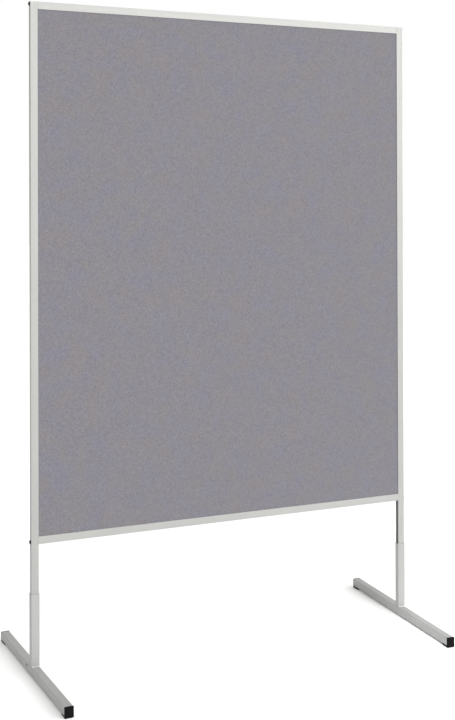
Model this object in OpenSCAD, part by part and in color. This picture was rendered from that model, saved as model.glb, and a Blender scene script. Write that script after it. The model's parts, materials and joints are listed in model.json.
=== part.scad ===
// Free-standing pinboard partition wall: a felt-covered board in an aluminium frame, whose two
// uprights run on downwards and plug into the sleeves of two T-shaped steel feet.
// Frame: +X along the wall, +Y towards its back, +Z up; the origin is on the floor at the centre.

/* [Panel] */
// Overall width of the framed panel
panel_w = 1200; // [600:10:1500]
// Overall height of the framed panel
panel_h = 1500; // [900:10:1800]
// Height of the panel's lower edge above the floor
panel_bottom = 365; // [300:5:600]

/* [Frame profile] */
// Width of the profile's visible face
profile_face = 21; // [20:1:30]
// Depth of the profile from front to back
profile_depth = 15; // [15:0.5:20]
// Thickness of the profile's outer wall and inner web
profile_wall = 1.5; // [1.2:0.1:2]
// Depth of the groove that holds the board
groove_depth = 8; // [6:0.5:9]

/* [Board] */
// Thickness of the fibreboard core
core_t = 9; // [6:0.5:9]
// Thickness of the felt on each side
felt_t = 1.5; // [1:0.1:1.5]
// Clearance between the felt and the groove's side
board_clear = 0.2; // [0.1:0.05:0.4]

/* [Foot] */
// Length of a foot from cap to cap
foot_length = 600; // [450:10:800]
// Side of the square foot tube
foot_tube = 24; // [24:1:40]
// Wall thickness of the foot tube
foot_wall = 2; // [1.5:0.1:3]
// Height of the glides that hold the tube off the floor
glide_h = 5; // [3:0.5:8]
// Length of the glide under the tube
glide_length = 30; // [20:1:60]
// Angle that each foot's front end is turned inwards, within the play in its sleeve
foot_turn = 2.5; // [0:0.5:2.5]

/* [Sleeve] */
// Height of the sleeve above the foot tube
sleeve_h = 200; // [120:5:260]
// Wall thickness of the sleeve
sleeve_wall = 1; // [1:0.1:2.5]
// Clearance on each side between the upright and the sleeve
sleeve_clear = 0.5; // [0.5:0.1:0.8]

/* [Fasteners] */
// Thread diameter of the corner bolts
bolt_d = 6; // [5:1:6]
// Length of a corner bolt under its washer
bolt_length = 42; // [36:1:50]
// Diameter of a bolt's button head
bolt_head_d = 12; // [10:0.5:13]

/* [Hidden] */

$fn = 48;
LEFT = -1;
RIGHT = 1;
FRONT = -1;
REAR = 1;
TOP = 1;
BOTTOM = -1;
past = 1;                                   // how far a cutter runs past the face it cuts

aluminium_colour = [0.84, 0.84, 0.82];
coated_steel_colour = [0.72, 0.72, 0.71];
felt_colour = [0.57, 0.56, 0.59];
core_colour = [0.76, 0.64, 0.46];
black_plastic_colour = [0.06, 0.06, 0.06];
grey_plastic_colour = [0.80, 0.80, 0.79];
zinc_colour = [0.62, 0.63, 0.65];

panel_top = panel_bottom + panel_h;
board_t = core_t + 2 * felt_t;
groove_w = board_t + 2 * board_clear;
flange_t = (profile_depth - groove_w) / 2;
chamber_x = profile_face - groove_depth - 2 * profile_wall;
chamber_y = profile_depth - 2 * flange_t;
profile_radius = 0.8;
upright_x = panel_w / 2 - profile_face / 2;  // distance of an upright's middle from the origin
rail_length = panel_w - 2 * profile_face;
edge_gap = 1;                               // between the board's edge and the groove's bottom
board_w = rail_length + 2 * (groove_depth - edge_gap);
board_h = panel_h - 2 * profile_face + 2 * (groove_depth - edge_gap);
board_mid = panel_bottom + panel_h / 2;

foot_top = glide_h + foot_tube;
tube_radius = 2.5;
cap_head_t = 3;
cap_lip = 0.5;                              // how far a cap's head stands out around the tube
cap_insert = 18;
cap_clear = 0.2;
cap_rib_t = 1.6;
glide_inset = 0.5;                          // how far the glide's sides stay inside the tube's
tube_length = foot_length - 2 * cap_head_t;
vent_d = 9;
vent_y = 36;
vent_z = foot_top - 7;

sleeve_x = profile_face + 2 * (sleeve_clear + sleeve_wall);
sleeve_y = profile_depth + 2 * (sleeve_clear + sleeve_wall);
sleeve_radius = 1.5;
weld_r = 2.5;

plug_head_t = 2;
plug_leg_length = 14;
plug_leg_gap = 7;                           // between a plug's legs, so that a corner bolt passes
plug_clear = 0.15;
upright_bottom = foot_top + plug_head_t;
upright_length = panel_top - plug_head_t - upright_bottom;

bolt_z = profile_wall + chamber_x / 2;       // from a rail's outer edge to its bolts
bolt_hole_d = bolt_d + 0.4;
washer_t = 1;
washer_d = 13;
bolt_head_h = 3;
hex_socket = 4;
hex_depth = 1.8;
block_length = 30;
block_clear = 0.1;

// A rectangle with round corners, centred on the origin.
module round_rect(x, y, r) {
    square([x - 2 * r, y], center = true);
    square([x, y - 2 * r], center = true);
    for (sx = [-1, 1], sy = [-1, 1])
        translate([sx * (x / 2 - r), sy * (y / 2 - r)])
            circle(r = r);
}

// The extruded frame section: a closed chamber on the outer side and, on the +X side, a groove.
module frame_section() {
    difference() {
        round_rect(profile_face, profile_depth, profile_radius);
        translate([-profile_face / 2 + profile_wall, -chamber_y / 2])
            square([chamber_x, chamber_y]);
        translate([profile_face / 2 - groove_depth, -groove_w / 2])
            square([groove_depth + past, groove_w]);
    }
}

// One bolt hole along X through both walls of an upright.
module bolt_hole(z) {
    translate([-profile_face / 2 - past, 0, z])
        rotate([0, 90, 0])
            cylinder(d = bolt_hole_d, h = profile_face + 2 * past);
}

// An upright with its groove towards +X, standing at the origin.
module upright_body() {
    difference() {
        translate([0, 0, upright_bottom])
            linear_extrude(height = upright_length)
                frame_section();
        bolt_hole(panel_top - bolt_z);
        bolt_hole(panel_bottom + bolt_z);
    }
}

// Places what is drawn for the left-hand side on either side, mirrored on the right.
module at_side(side) {
    translate([side * upright_x, 0, 0])
        mirror([side == RIGHT ? 1 : 0, 0, 0])
            children();
}

// Places a piece of a foot, turned with that foot about its upright.
module at_foot(side) {
    at_side(side)
        rotate([0, 0, foot_turn])
            children();
}

module upright(side) {
    color(aluminium_colour)
        at_side(side)
            upright_body();
}

// A rail between the uprights, with its groove towards the board.
module rail(end) {
    z = end == TOP ? panel_top - profile_face / 2 : panel_bottom + profile_face / 2;
    color(aluminium_colour)
        translate([-rail_length / 2, 0, z])
            rotate([0, 90, 0])
                mirror([end == TOP ? 0 : 1, 0, 0])
                    linear_extrude(height = rail_length)
                        frame_section();
}

module board_core() {
    color(core_colour)
        translate([0, 0, board_mid])
            cube([board_w, core_t, board_h], center = true);
}

module felt_sheet(face) {
    color(felt_colour)
        translate([0, face * (core_t + felt_t) / 2, board_mid])
            cube([board_w, felt_t, board_h], center = true);
}

function bolt_height(end) = end == TOP ? panel_top - bolt_z : panel_bottom + bolt_z;

// The threaded block in a rail's chamber that the corner bolt screws into.
module corner_block(side, end) {
    start = profile_face / 2;
    color(zinc_colour)
        at_side(side)
            translate([start, 0, bolt_height(end)])
                difference() {
                    translate([0, -chamber_y / 2 + block_clear, -chamber_x / 2 + block_clear])
                        cube([block_length, chamber_y - 2 * block_clear, chamber_x - 2 * block_clear]);
                    translate([-past, 0, 0])
                        rotate([0, 90, 0])
                            cylinder(d = bolt_d, h = block_length + 2 * past);
                }
}

// A washer lying on the upright's outer face.
module corner_washer() {
    translate([-profile_face / 2 - washer_t, 0, 0])
        rotate([0, 90, 0])
            difference() {
                cylinder(d = washer_d, h = washer_t);
                translate([0, 0, -past])
                    cylinder(d = bolt_hole_d, h = washer_t + 2 * past);
            }
}

// A button-head bolt along X, with its hexagon socket towards the outside.
module corner_bolt() {
    crown_r = (pow(bolt_head_d / 2, 2) + pow(bolt_head_h, 2)) / (2 * bolt_head_h);
    translate([-profile_face / 2 - washer_t, 0, 0])
        rotate([0, 90, 0]) {
            cylinder(d = bolt_d, h = bolt_length);
            difference() {
                intersection() {
                    translate([0, 0, crown_r - bolt_head_h])
                        sphere(r = crown_r);
                    translate([0, 0, -bolt_head_h])
                        cylinder(d = bolt_head_d, h = bolt_head_h);
                }
                translate([0, 0, -bolt_head_h - past])
                    cylinder(d = hex_socket, h = hex_depth + past, $fn = 6);
            }
        }
}

module at_corners() {
    for (side = [LEFT, RIGHT], end = [TOP, BOTTOM])
        at_side(side)
            translate([0, 0, bolt_height(end)])
                children();
}

module corner_bolts() {
    color(black_plastic_colour)
        at_corners()
            corner_bolt();
}

module corner_washers() {
    color(black_plastic_colour)
        at_corners()
            corner_washer();
}

// A plug with a head the size of the profile and two legs that point up into the chamber.
module profile_plug() {
    leg_x = chamber_x - 2 * plug_clear;
    leg_y = (chamber_y - plug_leg_gap) / 2 - plug_clear;
    linear_extrude(height = plug_head_t)
        round_rect(profile_face, profile_depth, profile_radius);
    for (face = [FRONT, REAR])
        translate([
            -profile_face / 2 + profile_wall + plug_clear,
            face * (plug_leg_gap + leg_y) / 2 - leg_y / 2,
            0
        ])
            cube([leg_x, leg_y, plug_head_t + plug_leg_length]);
}

module bottom_plug(side) {
    color(grey_plastic_colour)
        at_side(side)
            translate([0, 0, foot_top])
                profile_plug();
}

module top_plug(side) {
    color(grey_plastic_colour)
        at_side(side)
            translate([0, 0, panel_top])
                mirror([0, 0, 1])
                    profile_plug();
}

// The square foot tube along Y, with a vent hole in its outer side behind the sleeve.
module foot_tube_solid(side) {
    inner = foot_tube - 2 * foot_wall;
    color(coated_steel_colour)
        at_foot(side)
            difference() {
                translate([0, tube_length / 2, glide_h + foot_tube / 2])
                    rotate([90, 0, 0])
                        linear_extrude(height = tube_length)
                            difference() {
                                round_rect(foot_tube, foot_tube, tube_radius);
                                square([inner, inner], center = true);
                            }
                translate([-foot_tube / 2 - past, vent_y, vent_z])
                    rotate([0, 90, 0])
                        cylinder(d = vent_d, h = foot_wall + 2 * past);
            }
}

// The sleeve that stands on the foot tube and takes the upright.
module sleeve(side) {
    color(coated_steel_colour)
        at_foot(side)
            translate([0, 0, foot_top])
                linear_extrude(height = sleeve_h)
                    difference() {
                        round_rect(sleeve_x, sleeve_y, sleeve_radius);
                        round_rect(
                            sleeve_x - 2 * sleeve_wall,
                            sleeve_y - 2 * sleeve_wall,
                            profile_radius
                        );
                    }
}

// The fillet welds along the sleeve's front and rear edges.
module sleeve_weld(side) {
    length = sleeve_x - 2 * sleeve_radius;
    color(coated_steel_colour)
        at_foot(side)
            for (face = [FRONT, REAR])
                translate([-length / 2, face * sleeve_y / 2, foot_top])
                    rotate([90, 0, 90])
                        intersection() {
                            cylinder(r = weld_r, h = length);
                            translate([face == FRONT ? -weld_r : 0, 0, 0])
                                cube([weld_r, weld_r, length]);
                        }
}

// A moulded end cap: a head over the tube's end, a ribbed insert and the glide under the tube.
module end_cap(side, face) {
    inner = foot_tube - 2 * (foot_wall + cap_clear);
    color(black_plastic_colour)
        at_foot(side)
            mirror([0, face == REAR ? 1 : 0, 0])
                translate([0, -foot_length / 2, 0]) {
                    translate([0, cap_head_t, (foot_top + cap_lip) / 2])
                        rotate([90, 0, 0])
                            linear_extrude(height = cap_head_t)
                                round_rect(foot_tube + 2 * cap_lip, foot_top + cap_lip, tube_radius);
                    translate([-foot_tube / 2 + glide_inset, cap_head_t - past, 0])
                        cube([foot_tube - 2 * glide_inset, glide_length - cap_head_t + past, glide_h]);
                    translate([0, 0, glide_h + foot_tube / 2])
                        for (turn = [0, 90])
                            rotate([0, turn, 0])
                                translate([-inner / 2, 0, -cap_rib_t / 2])
                                    cube([inner, cap_head_t + cap_insert, cap_rib_t]);
                }
}

upright(LEFT);  // upright_left
upright(RIGHT);  // upright_right
rail(TOP);  // top_rail
rail(BOTTOM);  // bottom_rail
board_core();
felt_sheet(FRONT);  // front_felt
felt_sheet(REAR);  // rear_felt
corner_block(LEFT, TOP);  // corner_block_top_left
corner_block(RIGHT, TOP);  // corner_block_top_right
corner_block(LEFT, BOTTOM);  // corner_block_bottom_left
corner_block(RIGHT, BOTTOM);  // corner_block_bottom_right
corner_bolts();
corner_washers();
top_plug(LEFT);  // top_plug_left
top_plug(RIGHT);  // top_plug_right
bottom_plug(LEFT);  // bottom_plug_left
bottom_plug(RIGHT);  // bottom_plug_right
foot_tube_solid(LEFT);  // foot_tube_left
foot_tube_solid(RIGHT);  // foot_tube_right
sleeve(LEFT);  // sleeve_left
sleeve(RIGHT);  // sleeve_right
sleeve_weld(LEFT);  // sleeve_weld_left
sleeve_weld(RIGHT);  // sleeve_weld_right
end_cap(LEFT, FRONT);  // front_cap_left
end_cap(RIGHT, FRONT);  // front_cap_right
end_cap(LEFT, REAR);  // rear_cap_left
end_cap(RIGHT, REAR);  // rear_cap_right
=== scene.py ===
import json
import math

import bpy
from mathutils import Matrix, Vector, noise


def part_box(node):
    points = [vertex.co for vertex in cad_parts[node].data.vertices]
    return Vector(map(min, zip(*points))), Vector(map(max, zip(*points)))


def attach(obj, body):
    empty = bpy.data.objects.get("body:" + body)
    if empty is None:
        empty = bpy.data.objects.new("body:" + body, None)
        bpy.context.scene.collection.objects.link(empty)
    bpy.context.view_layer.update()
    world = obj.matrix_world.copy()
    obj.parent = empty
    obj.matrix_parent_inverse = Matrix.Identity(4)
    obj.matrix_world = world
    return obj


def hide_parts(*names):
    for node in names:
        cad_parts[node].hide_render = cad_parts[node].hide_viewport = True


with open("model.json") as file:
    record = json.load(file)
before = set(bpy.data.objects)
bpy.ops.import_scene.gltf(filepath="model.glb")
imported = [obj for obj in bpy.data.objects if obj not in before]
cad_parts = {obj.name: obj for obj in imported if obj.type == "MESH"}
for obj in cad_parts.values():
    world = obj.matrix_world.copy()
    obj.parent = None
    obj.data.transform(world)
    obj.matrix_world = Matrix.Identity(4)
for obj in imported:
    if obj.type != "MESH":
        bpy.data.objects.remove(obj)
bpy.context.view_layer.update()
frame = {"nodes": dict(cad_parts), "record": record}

NODES = frame["nodes"]
MOUNTS = {m["name"]: Vector(m["pos_m"]) for m in frame["record"]["mounts"]}
MM = 0.001

# ---------------------------------------------------------------- camera and light

CAMERA_PLACE = (-1.400, -3.197, 1.2875)
CAMERA_TURN = math.radians(24.18)         # to the right of straight on
CAMERA_TILT = math.radians(0.29)
CAMERA_ROLL = math.radians(-0.17)
FOCAL_LENGTH_MM = 58.7
SENSOR_MM = 36.0
CAMERA_SHIFT = (-0.0169, -0.2172)
CAMERA_REACH = 200


def make_camera():
    data = bpy.data.cameras.new("camera")
    data.sensor_width = SENSOR_MM
    data.sensor_fit = "AUTO"
    data.lens = FOCAL_LENGTH_MM
    data.shift_x, data.shift_y = CAMERA_SHIFT
    data.clip_end = CAMERA_REACH
    camera = bpy.data.objects.new("camera", data)
    turn = Matrix.Rotation(-CAMERA_TURN, 4, "Z")
    tilt = Matrix.Rotation(math.pi / 2 + CAMERA_TILT, 4, "X")
    roll = Matrix.Rotation(CAMERA_ROLL, 4, "Z")
    camera.matrix_world = Matrix.Translation(CAMERA_PLACE) @ turn @ tilt @ roll
    bpy.context.scene.collection.objects.link(camera)
    bpy.context.scene.camera = camera


# The studio's light: a white surround that is brighter above and brightest at the front right.
LIGHT_AZIMUTH = math.radians(50)          # to the right of straight in front
LIGHT_ELEVATION = math.radians(-4)
LIGHT_EDGE = 0.3                          # cosine of the angle at which its glow begins
SURROUND_LEVEL = 0.62
ZENITH_GAIN = 0.60
ZENITH_EDGES = (0.2, 0.9)                 # sines of the elevations between which it rises
SURROUND_GAIN = 3.4
BACKDROP_LEVEL = 1.0
FILL_PLACE = (0.2, -0.8, 1.6)
FILL_TARGET = (0.6, -0.17, 0.0)
FILL_SIZE = 0.3
FILL_SPREAD = math.radians(15)
FILL_POWER = 0.27


def make_world():
    world = bpy.data.worlds.new("studio")
    bpy.context.scene.world = world
    world.use_nodes = True
    nodes, links = world.node_tree.nodes, world.node_tree.links
    nodes.clear()
    place = nodes.new("ShaderNodeTexCoord")
    towards = nodes.new("ShaderNodeVectorMath")
    towards.operation = "DOT_PRODUCT"
    towards.inputs[1].default_value = (
        math.sin(LIGHT_AZIMUTH) * math.cos(LIGHT_ELEVATION),
        -math.cos(LIGHT_AZIMUTH) * math.cos(LIGHT_ELEVATION),
        math.sin(LIGHT_ELEVATION),
    )
    links.new(place.outputs["Generated"], towards.inputs[0])
    level = nodes.new("ShaderNodeMapRange")
    level.interpolation_type = "SMOOTHSTEP"
    level.inputs["From Min"].default_value = LIGHT_EDGE
    level.inputs["From Max"].default_value = 1.0
    level.inputs["To Min"].default_value = SURROUND_LEVEL
    level.inputs["To Max"].default_value = SURROUND_LEVEL + SURROUND_GAIN
    links.new(towards.outputs["Value"], level.inputs["Value"])
    split = nodes.new("ShaderNodeSeparateXYZ")
    links.new(place.outputs["Generated"], split.inputs[0])
    zenith = nodes.new("ShaderNodeMapRange")
    zenith.interpolation_type = "SMOOTHSTEP"
    zenith.inputs["From Min"].default_value, zenith.inputs["From Max"].default_value = ZENITH_EDGES
    zenith.inputs["To Max"].default_value = ZENITH_GAIN
    links.new(split.outputs["Z"], zenith.inputs["Value"])
    total = nodes.new("ShaderNodeMath")
    links.new(level.outputs["Result"], total.inputs[0])
    links.new(zenith.outputs["Result"], total.inputs[1])
    surround = nodes.new("ShaderNodeBackground")
    surround.inputs["Color"].default_value = (1.0, 1.0, 0.99, 1)
    links.new(total.outputs[0], surround.inputs["Strength"])
    backdrop = nodes.new("ShaderNodeBackground")
    backdrop.inputs["Color"].default_value = (1, 1, 1, 1)
    backdrop.inputs["Strength"].default_value = BACKDROP_LEVEL
    ray = nodes.new("ShaderNodeLightPath")
    choose = nodes.new("ShaderNodeMixShader")
    links.new(ray.outputs["Is Camera Ray"], choose.inputs[0])
    links.new(surround.outputs[0], choose.inputs[1])
    links.new(backdrop.outputs[0], choose.inputs[2])
    out = nodes.new("ShaderNodeOutputWorld")
    links.new(choose.outputs[0], out.inputs["Surface"])
    bpy.context.scene.view_settings.view_transform = "Standard"


def make_fill():
    """A gridded softbox in front of the panel that lifts the right foot and its sleeve."""
    place, target = Vector(FILL_PLACE), Vector(FILL_TARGET)
    data = bpy.data.lights.new("fill", "AREA")
    data.shape = "SQUARE"
    data.size = FILL_SIZE
    data.spread = FILL_SPREAD
    data.energy = FILL_POWER
    lamp = bpy.data.objects.new("fill", data)
    lamp.location = place
    lamp.rotation_euler = (target - place).to_track_quat("-Z", "Y").to_euler()
    bpy.context.scene.collection.objects.link(lamp)


# ---------------------------------------------------------------- materials


class Shader:
    """A Principled material with short calls for the nodes that the finishes share."""

    def __init__(self, name, colour, roughness, metallic=0.0):
        self.material = bpy.data.materials.new(name)
        self.material.use_nodes = True
        self.nodes = self.material.node_tree.nodes
        self.links = self.material.node_tree.links
        self.bsdf = self.nodes["Principled BSDF"]
        self.bsdf.inputs["Base Color"].default_value = (*colour, 1)
        self.bsdf.inputs["Roughness"].default_value = roughness
        self.bsdf.inputs["Metallic"].default_value = metallic
        self.place = self.nodes.new("ShaderNodeTexCoord").outputs["Object"]

    def link(self, source, target):
        self.links.new(source, target)
        return source

    def noise(self, scale, detail=3.0, stretch=(1, 1, 1), distortion=0.0):
        """Noise in cells per metre, drawn out along an axis where stretch is small."""
        mapping = self.nodes.new("ShaderNodeMapping")
        mapping.inputs["Scale"].default_value = stretch
        self.link(self.place, mapping.inputs["Vector"])
        texture = self.nodes.new("ShaderNodeTexNoise")
        texture.inputs["Scale"].default_value = scale
        texture.inputs["Detail"].default_value = detail
        texture.inputs["Distortion"].default_value = distortion
        self.link(mapping.outputs[0], texture.inputs["Vector"])
        return texture.outputs["Fac"]

    def ramp(self, value, low, high, to_low=0.0, to_high=1.0):
        node = self.nodes.new("ShaderNodeMapRange")
        node.inputs["From Min"].default_value = low
        node.inputs["From Max"].default_value = high
        node.inputs["To Min"].default_value = to_low
        node.inputs["To Max"].default_value = to_high
        self.link(value, node.inputs["Value"])
        return node.outputs["Result"]

    def math(self, operation, a, b):
        node = self.nodes.new("ShaderNodeMath")
        node.operation = operation
        for socket, value in zip(node.inputs, (a, b)):
            if isinstance(value, (int, float)):
                socket.default_value = value
            else:
                self.link(value, socket)
        return node.outputs[0]

    def mix(self, factor, a, b, blend="MIX"):
        node = self.nodes.new("ShaderNodeMix")
        node.data_type = "RGBA"
        node.blend_type = blend
        factor_socket, a_socket, b_socket = node.inputs[0], node.inputs[6], node.inputs[7]
        for socket, value in ((factor_socket, factor), (a_socket, a), (b_socket, b)):
            if isinstance(value, tuple):
                socket.default_value = (*value, 1)
            elif isinstance(value, (int, float)):
                socket.default_value = value
            else:
                self.link(value, socket)
        return node.outputs[2]

    def height(self):
        """The height above the floor."""
        split = self.nodes.new("ShaderNodeSeparateXYZ")
        self.link(self.place, split.inputs[0])
        return split.outputs["Z"]

    def colour(self, value):
        self.link(value, self.bsdf.inputs["Base Color"])

    def roughness(self, value):
        self.link(value, self.bsdf.inputs["Roughness"])

    def bump(self, *layers):
        """Each layer is (height, strength, distance in metres)."""
        normal = None
        for value, strength, distance in layers:
            node = self.nodes.new("ShaderNodeBump")
            node.inputs["Strength"].default_value = strength
            node.inputs["Distance"].default_value = distance
            self.link(value, node.inputs["Height"])
            if normal is not None:
                self.link(normal, node.inputs["Normal"])
            normal = node.outputs["Normal"]
        self.link(normal, self.bsdf.inputs["Normal"])


def shade(value, factor):
    return tuple(channel * factor for channel in value)


def anodised(name, base, along):
    """Satin silver anodising over extrusion lines that run along one axis."""
    shader = Shader(name, base, 0.5, metallic=0.5)
    shader.bsdf.inputs["Specular IOR Level"].default_value = 0.25
    shader.bsdf.inputs["Specular Tint"].default_value = (0.6, 0.6, 0.6, 1)
    stretch = tuple(0.004 if axis == along else 1.0 for axis in "XYZ")
    lines = shader.noise(900, detail=2, stretch=stretch)
    broad = shader.noise(160, detail=2, stretch=stretch)
    cloud = shader.noise(7, detail=4)
    grit = shader.noise(2600, detail=1)
    tone = shader.mix(shader.ramp(cloud, 0.3, 0.7), shade(base, 0.965), shade(base, 1.03))
    tone = shader.mix(shader.ramp(broad, 0.3, 0.7, 0.0, 0.35), tone, shade(base, 0.93))
    shader.colour(tone)
    streaks = shader.ramp(lines, 0.2, 0.8, 0.42, 0.54)
    shader.roughness(shader.math("ADD", streaks, shader.ramp(cloud, 0.3, 0.7, 0, 0.05)))
    shader.bump((lines, 0.18, 0.0001), (grit, 0.10, 0.00006))
    return shader.material


def powder_coat(name, base):
    """Silver-grey metallic powder coat with orange peel and scuffs near the floor."""
    shader = Shader(name, base, 0.5, metallic=0.45)
    shader.bsdf.inputs["Specular Tint"].default_value = (0.7, 0.7, 0.7, 1)
    shader.bsdf.inputs["Coat Weight"].default_value = 0.2
    shader.bsdf.inputs["Coat Roughness"].default_value = 0.4
    peel = shader.noise(420, detail=2)
    grain = shader.noise(1900, detail=2)
    cloud = shader.noise(9, detail=5)
    low = shader.ramp(shader.height(), 0.0, 0.05, 1.0, 0.0)
    rubs = shader.ramp(shader.noise(95, detail=6, stretch=(1, 0.25, 2.5)), 0.62, 0.70)
    scuff = shader.math("MULTIPLY", rubs, low)
    tone = shader.mix(shader.ramp(cloud, 0.3, 0.7), shade(base, 0.975), shade(base, 1.02))
    tone = shader.mix(shader.ramp(grain, 0.35, 0.65, 0.0, 0.25), tone, shade(base, 0.90))
    tone = shader.mix(shader.math("MULTIPLY", scuff, 0.55), tone, shade(base, 0.62))
    shader.colour(tone)
    satin = shader.ramp(cloud, 0.3, 0.7, 0.46, 0.54)
    shader.roughness(shader.math("ADD", satin, shader.math("MULTIPLY", scuff, 0.2)))
    shader.bump((peel, 0.25, 0.0002), (grain, 0.12, 0.00008))
    return shader.material


def needle_felt(name, base):
    """Mottled grey needle felt: matted fibres, tiny needle holes, slow cool and warm patches, and
    painted shade in its hollows and between its fibres.
    """
    shader = Shader(name, base, 0.95)
    shader.bsdf.inputs["Specular IOR Level"].default_value = 0.2
    shader.bsdf.inputs["Sheen Weight"].default_value = 0.10
    shader.bsdf.inputs["Sheen Roughness"].default_value = 0.6
    fibre_a = shader.noise(520, detail=5, stretch=(1, 1, 0.22), distortion=1.2)
    fibre_b = shader.noise(560, detail=5, stretch=(0.22, 1, 1), distortion=1.2)
    fibres = shader.math("MAXIMUM", fibre_a, fibre_b)
    mottle = shader.noise(220, detail=4, distortion=0.4)
    patches = shader.noise(16, detail=4, distortion=0.6)
    warm, cool = (1.055, 1.035, 1.0), (1.0, 1.01, 1.085)
    tone = shader.mix(
        shader.ramp(patches, 0.36, 0.64),
        tuple(a * b for a, b in zip(base, warm)),
        tuple(a * b for a, b in zip(base, cool)),
    )
    # Painted shade in the felt's hollows: the tone is darkened where the mottle bump is low. The
    # mottle also gives the felt its own patchy tone.
    shaded_hollows = shader.mix(1.0, tone, (0.76, 0.76, 0.76), "MULTIPLY")
    tone = shader.mix(shader.ramp(mottle, 0.30, 0.70), shaded_hollows, tone)
    # Painted shade between the fibres: the tone is darkened where the fibre bump is low.
    shaded_gaps = shader.mix(1.0, tone, (0.80, 0.80, 0.80), "MULTIPLY")
    tone = shader.mix(shader.ramp(fibres, 0.45, 0.75), shaded_gaps, tone)
    flecks = shader.ramp(shader.noise(900, detail=1), 0.69, 0.74)
    tone = shader.mix(shader.math("MULTIPLY", flecks, 0.5), tone, shade(base, 1.7))
    shader.colour(tone)
    pits = shader.nodes.new("ShaderNodeTexVoronoi")
    pits.inputs["Scale"].default_value = 420
    shader.link(shader.place, pits.inputs["Vector"])
    shader.bump(
        (pits.outputs["Distance"], 0.25, 0.0003),
        (fibres, 0.6, 0.0005),
        (mottle, 0.35, 0.0008),
    )
    return shader.material


def moulded_plastic(name, base, roughness, gloss=0.5):
    """Injection-moulded plastic with a fine spark-eroded grain, rubbed smooth in places."""
    shader = Shader(name, base, roughness)
    shader.bsdf.inputs["Specular IOR Level"].default_value = gloss
    grain = shader.noise(2400, detail=2)
    cloud = shader.noise(60, detail=4)
    flow = shader.noise(240, detail=3, stretch=(1, 0.3, 1), distortion=0.8)
    tone = shader.mix(shader.ramp(cloud, 0.35, 0.65), shade(base, 0.85), shade(base, 1.15))
    tone = shader.mix(shader.ramp(flow, 0.55, 0.75, 0.0, 0.3), tone, shade(base, 1.5))
    shader.colour(tone)
    shader.roughness(shader.ramp(cloud, 0.3, 0.7, roughness - 0.08, roughness + 0.10))
    shader.bump((grain, 0.35, 0.0001), (flow, 0.08, 0.0002))
    return shader.material


def plated_steel(name, base, roughness, metallic):
    """Plated or blackened steel with a fine grain and a patchy bloom."""
    shader = Shader(name, base, roughness, metallic=metallic)
    grain = shader.noise(1500, detail=3)
    bloom = shader.noise(180, detail=4, distortion=0.5)
    shader.colour(shader.mix(shader.ramp(bloom, 0.35, 0.65), shade(base, 0.80), shade(base, 1.15)))
    shader.roughness(shader.ramp(bloom, 0.3, 0.7, roughness - 0.08, roughness + 0.12))
    shader.bump((grain, 0.2, 0.00008))
    return shader.material


def fibreboard(name, base):
    """Raw soft fibreboard: matted wood fibres, lighter and darker."""
    shader = Shader(name, base, 0.9)
    fibres = shader.noise(700, detail=6, stretch=(0.3, 1, 1), distortion=1.5)
    cloud = shader.noise(40, detail=4)
    tone = shader.mix(shader.ramp(fibres, 0.3, 0.7), shade(base, 0.7), shade(base, 1.25))
    shader.colour(shader.mix(shader.ramp(cloud, 0.35, 0.65, 0.0, 0.3), tone, shade(base, 0.75)))
    shader.bump((fibres, 0.5, 0.0004))
    return shader.material


ALUMINIUM = (0.372, 0.372, 0.364)
FINISHES = {
    "upright": anodised("anodised_upright", ALUMINIUM, "Z"),
    # Painted light: the rails use the uprights' anodising painted 4% lighter, standing in for the
    # light they catch.
    "rail": anodised("anodised_rail_painted_lighter", shade(ALUMINIUM, 1.04), "X"),
    "felt": needle_felt("needle_felt", (0.207, 0.199, 0.220)),
    "foot": powder_coat("powder_coat", (0.366, 0.366, 0.361)),
    # Painted highlight: the weld bead is coated like the foot but coloured lighter than the powder
    # coat, standing in for the light its upward slope catches.
    "weld": plated_steel("coated_weld_painted_highlight", (0.52, 0.52, 0.51), 0.4, 0.5),
    "black_plastic": moulded_plastic("black_plastic", (0.004, 0.004, 0.004), 0.45, gloss=0.07),
    "grey_plastic": moulded_plastic("grey_plastic", (0.44, 0.44, 0.43), 0.5),
    "bolt": plated_steel("black_oxide", (0.02, 0.02, 0.021), 0.35, 0.6),
    "zinc": plated_steel("zinc_plate", (0.62, 0.63, 0.65), 0.35, 1.0),
    "fibreboard": fibreboard("fibreboard", (0.42, 0.30, 0.17)),
}
NODE_FINISHES = {
    "upright": ["upright_left", "upright_right"],
    "rail": ["top_rail", "bottom_rail"],
    "fibreboard": ["board_core"],
    "zinc": [
        f"corner_block_{end}_{side}" for end in ("top", "bottom") for side in ("left", "right")
    ],
    "bolt": ["corner_bolts", "corner_washers"],
    "grey_plastic": [
        f"{end}_plug_{side}" for end in ("top", "bottom") for side in ("left", "right")
    ],
    "foot": [f"{part}_{side}" for part in ("foot_tube", "sleeve") for side in ("left", "right")],
}


def finish_cad_nodes():
    for finish, names in NODE_FINISHES.items():
        for name in names:
            for held in NODES[name].material_slots:
                held.material = FINISHES[finish]


# ---------------------------------------------------------------- meshes


def new_piece(name, verts, faces, finish, smooth_angle=35):
    mesh = bpy.data.meshes.new(name)
    mesh.from_pydata(verts, [], faces)
    mesh.validate()
    piece = bpy.data.objects.new(name, mesh)
    bpy.context.scene.collection.objects.link(piece)
    mesh.materials.append(FINISHES[finish])
    mesh.shade_smooth()
    mesh.set_sharp_from_angle(angle=math.radians(smooth_angle))
    return piece


def loft(rings):
    """A closed surface through rings with equal numbers of points, with a face on each end."""
    count = len(rings[0])
    verts = [point for ring in rings for point in ring]
    faces = [tuple(reversed(range(count)))]
    for row in range(len(rings) - 1):
        for i in range(count):
            j = (i + 1) % count
            a, b = row * count, (row + 1) * count
            faces.append((a + i, a + j, b + j, b + i))
    faces.append(tuple(range((len(rings) - 1) * count, len(rings) * count)))
    return verts, faces


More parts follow.
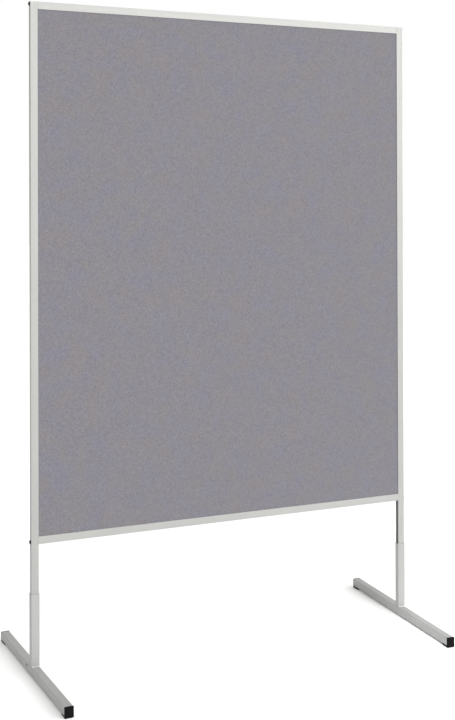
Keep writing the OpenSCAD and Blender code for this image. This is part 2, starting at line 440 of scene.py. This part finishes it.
def round_rect(low, high, radius, inset=0.0, steps=6):
    """Corner-rounded rectangle points, anticlockwise, moved inwards by inset."""
    radius = max(radius - inset, 0.1 * MM)
    x0, y0, x1, y1 = low[0] + inset, low[1] + inset, high[0] - inset, high[1] - inset
    corners = ((x1, y1, 0), (x0, y1, 90), (x0, y0, 180), (x1, y0, 270))
    points = []
    for x, y, start in corners:
        cx = x - math.copysign(radius, x - (x0 + x1) / 2)
        cy = y - math.copysign(radius, y - (y0 + y1) / 2)
        for step in range(steps + 1):
            angle = math.radians(start + 90 * step / steps)
            points.append((cx + radius * math.cos(angle), cy + radius * math.sin(angle)))
    return points


def merge(*parts):
    verts, faces = [], []
    for part_verts, part_faces in parts:
        first = len(verts)
        verts += part_verts
        faces += [tuple(first + i for i in face) for face in part_faces]
    return verts, faces


class Foot:
    """A foot's own axes: x across it, y along it towards the back, z up from the floor."""

    def __init__(self, side):
        self.side = side
        front, rear = MOUNTS[f"glide_front_{side}"], MOUNTS[f"glide_rear_{side}"]
        along = rear - front
        turn = math.atan2(-along.x, along.y)
        self.to_row = Matrix.Translation((front + rear) / 2) @ Matrix.Rotation(turn, 4, "Z")
        self.from_row = self.to_row.inverted()

    def box(self, node):
        points = [self.from_row @ v.co for v in NODES[node].data.vertices]
        low = Vector(min(p[i] for p in points) for i in range(3))
        high = Vector(max(p[i] for p in points) for i in range(3))
        return low, high

    def add(self, name, made, finish, slot, *nodes):
        verts, faces = made
        piece = new_piece(name, [self.to_row @ Vector(v) for v in verts], faces, finish)
        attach(piece, f"foot_{self.side}")
        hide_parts(*nodes)
        return piece


# ---------------------------------------------------------------- end caps

HEAD_THICKNESS = 3 * MM
HEAD_RADIUS = 2.5 * MM
GLIDE_INSET = 1 * MM
# Each station is how far it lies behind the outer face and how far in from the head's outline.
HEAD_STATIONS = (
    (3.0, 0.0), (0.9, 0.0), (0.45, 0.12), (0.12, 0.45),
    (0.0, 0.9), (0.0, 3.2), (0.35, 3.6), (0.35, 8.0),
)
GLIDE_CORNER = 3 * MM
# Each station is the height and how far in from the glide's outline.
GLIDE_STATIONS = ((0.0, 1.2), (0.3, 0.5), (0.9, 0.1), (1.4, 0.0), (5.0, 0.0))
RIB_HALF = 0.8 * MM
RIB_GAP = 2.3 * MM                        # from the tube's outside to a rib's edge
# Each station is how far it lies behind the outer face and how much shorter the ribs are there.
RIB_STATIONS = ((2.5, 0.0), (17.0, 0.0), (21.0, 1.2))


def cap_head(low, high, outward):
    """The head over the tube's end; outward is -1 at the front and 1 at the rear."""
    face = low.y if outward < 0 else high.y
    rings = []
    for back, inset in HEAD_STATIONS:
        outline = round_rect((low.x, low.z), (high.x, high.z), HEAD_RADIUS, inset * MM)
        ring = [(x, face - outward * back * MM, z) for x, z in outline]
        rings.append(ring if outward < 0 else ring[::-1])
    return loft(rings)


def cap_glide(low, high, glide_top, outward):
    """The glide under the tube, with soft lower edges."""
    near = low.y if outward < 0 else high.y
    far = high.y if outward < 0 else low.y
    near += -outward * HEAD_THICKNESS / 2
    y0, y1 = sorted((near, far))
    rings = []
    for height, inset in GLIDE_STATIONS:
        corners = (low.x + GLIDE_INSET, y0), (high.x - GLIDE_INSET, y1)
        outline = round_rect(*corners, GLIDE_CORNER, inset * MM)
        z = glide_top if height == GLIDE_STATIONS[-1][0] else height * MM
        rings.append([(x, y, z) for x, y in outline])
    return loft(rings)


def cap_insert(low, high, centre_z, half, outward):
    """The cross-shaped insert inside the tube, tapered towards its tip."""
    face = low.y if outward < 0 else high.y
    rib = RIB_HALF
    rings = []
    for depth, taper in RIB_STATIONS:
        reach = half - taper * MM
        ring = []
        for turn in range(4):
            c = round(math.cos(turn * math.pi / 2))
            s = round(math.sin(turn * math.pi / 2))
            y = face - outward * depth * MM
            for a, b in ((reach, -rib), (reach, rib), (rib, rib)):
                ring.append((a * c - b * s, y, centre_z + a * s + b * c))
        rings.append(ring if outward > 0 else ring[::-1])
    return loft(rings)


def make_caps(foot):
    tube_low, tube_high = foot.box(f"foot_tube_{foot.side}")
    for end, outward in (("front", -1), ("rear", 1)):
        node = f"{end}_cap_{foot.side}"
        low, high = foot.box(node)
        middle = (tube_low.z + tube_high.z) / 2
        half = (tube_high.z - tube_low.z) / 2 - RIB_GAP
        made = merge(
            cap_head(low, high, outward),
            cap_glide(low, high, tube_low.z, outward),
            cap_insert(low, high, middle, half, outward),
        )
        foot.add(f"moulded_{node}", made, "black_plastic", "black_plastic", node)


# ---------------------------------------------------------------- welds

WELD_RIPPLE = 1.5 * MM
WELD_STEPS = 84
WELD_ARC = 8
WELD_END = 0.35                           # the bead's size at its ends
WELD_RISE = 9                             # how fast it grows from there, per length
WELD_WANDER = 220                         # cells per metre
# The bead's radius is this share of the CAD bead's, plus ripple and wander.
WELD_SHARE, RIPPLE_SHARE, WANDER_SHARE = 0.80, 0.12, 0.08
WELD_SINK = (0.2 * MM, 0.05 * MM)         # into the sleeve and into the tube


def weld_bead(low, high, corner_y, corner_z, outward, seed):
    """A rippled fillet bead along x in the corner between sleeve and tube."""
    size = high.z - low.z
    rings = []
    for step in range(WELD_STEPS + 1):
        t = step / WELD_STEPS
        x = low.x + t * (high.x - low.x)
        end = min(1.0, WELD_RISE * min(t, 1 - t) + WELD_END)
        ripple = abs(math.sin(math.pi * (x - low.x) / WELD_RIPPLE))
        wander = noise.noise(Vector((x * WELD_WANDER, seed, 0)))
        share = WELD_SHARE + RIPPLE_SHARE * ripple + WANDER_SHARE * wander
        radius = size * math.sqrt(end) * share
        ring = [(x, corner_y - outward * WELD_SINK[0], corner_z - WELD_SINK[1])]
        for k in range(WELD_ARC + 1):
            angle = math.pi / 2 * k / WELD_ARC
            out = outward * radius * math.cos(angle)
            ring.append((x, corner_y + out, corner_z + radius * math.sin(angle)))
        rings.append(ring if outward > 0 else ring[::-1])
    return loft(rings)


def make_welds(foot):
    node = f"sleeve_weld_{foot.side}"
    low, high = foot.box(node)
    sleeve_low, sleeve_high = foot.box(f"sleeve_{foot.side}")
    beads = [
        weld_bead(low, high, corner, sleeve_low.z, outward, seed)
        for seed, (corner, outward) in enumerate(((sleeve_low.y, -1), (sleeve_high.y, 1)))
    ]
    foot.add(f"rippled_weld_{foot.side}", merge(*beads), "weld", "foot_steel", node)


# ---------------------------------------------------------------- felt

FELT_CELL = 6.0 * MM
FELT_WAVE = 0.25 * MM
FELT_PILE = 0.10 * MM
WAVE_CELLS = 6                            # per metre
PILE_CELLS = 150
FELT_HELD = 8 * MM                        # of its edge stays flat in the groove
FELT_EASE = 20 * MM


def make_felt(node, outward):
    """A felt sheet whose outer face dips a little between the grooves that hold its edges."""
    low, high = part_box(node)
    width, height = high.x - low.x, high.z - low.z
    columns, rows = round(width / FELT_CELL), round(height / FELT_CELL)
    outer, inner = (low.y, high.y) if outward < 0 else (high.y, low.y)
    verts = []
    for row in range(rows + 1):
        z = low.z + height * row / rows
        for column in range(columns + 1):
            x = low.x + width * column / columns
            edge = min(x - low.x, high.x - x, z - low.z, high.z - z)
            free = min(1.0, max(0.0, (edge - FELT_HELD) / FELT_EASE))
            wave = 0.5 + 0.5 * noise.noise(Vector((x * WAVE_CELLS, outward, z * WAVE_CELLS)))
            pile = 0.5 + 0.5 * noise.noise(Vector((x * PILE_CELLS, outward, z * PILE_CELLS)))
            dip = free * (FELT_WAVE * wave + FELT_PILE * pile)
            verts.append((x, outer - outward * dip, z))
    faces = []
    across = columns + 1
    for row in range(rows):
        for column in range(columns):
            a = row * across + column
            faces.append((a, a + 1, a + across + 1, a + across))
    first = len(verts)
    border = list(range(across))
    border += [r * across + columns for r in range(1, rows + 1)]
    border += [rows * across + c for c in range(columns - 1, -1, -1)]
    border += [r * across for r in range(rows - 1, 0, -1)]
    verts += [(verts[i][0], inner, verts[i][2]) for i in border]
    for i in range(len(border)):
        j = (i + 1) % len(border)
        faces.append((border[j], border[i], first + i, first + j))
    faces.append(tuple(first + i for i in reversed(range(len(border)))))
    if outward > 0:
        faces = [face[::-1] for face in faces]
    piece = new_piece(f"needled_{node}", verts, faces, "felt", smooth_angle=60)
    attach(piece, "frame")
    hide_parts(node)


# ---------------------------------------------------------------- floor


FLOOR_RADIUS = 40.0
FLOOR_SIDES = 64


def make_floor():
    angles = [2 * math.pi * i / FLOOR_SIDES for i in range(FLOOR_SIDES)]
    ring = [(FLOOR_RADIUS * math.cos(a), FLOOR_RADIUS * math.sin(a), 0) for a in angles]
    mesh = bpy.data.meshes.new("floor")
    mesh.from_pydata(ring, [], [tuple(range(FLOOR_SIDES))])
    floor = bpy.data.objects.new("floor", mesh)
    bpy.context.scene.collection.objects.link(floor)
    shader = Shader("pale_floor", (0.90, 0.90, 0.90), 0.8)
    mesh.materials.append(shader.material)


make_camera()
make_world()
make_fill()
make_floor()
finish_cad_nodes()
make_felt("front_felt", -1)
make_felt("rear_felt", 1)
for side in ("left", "right"):
    foot = Foot(side)
    make_caps(foot)
    make_welds(foot)
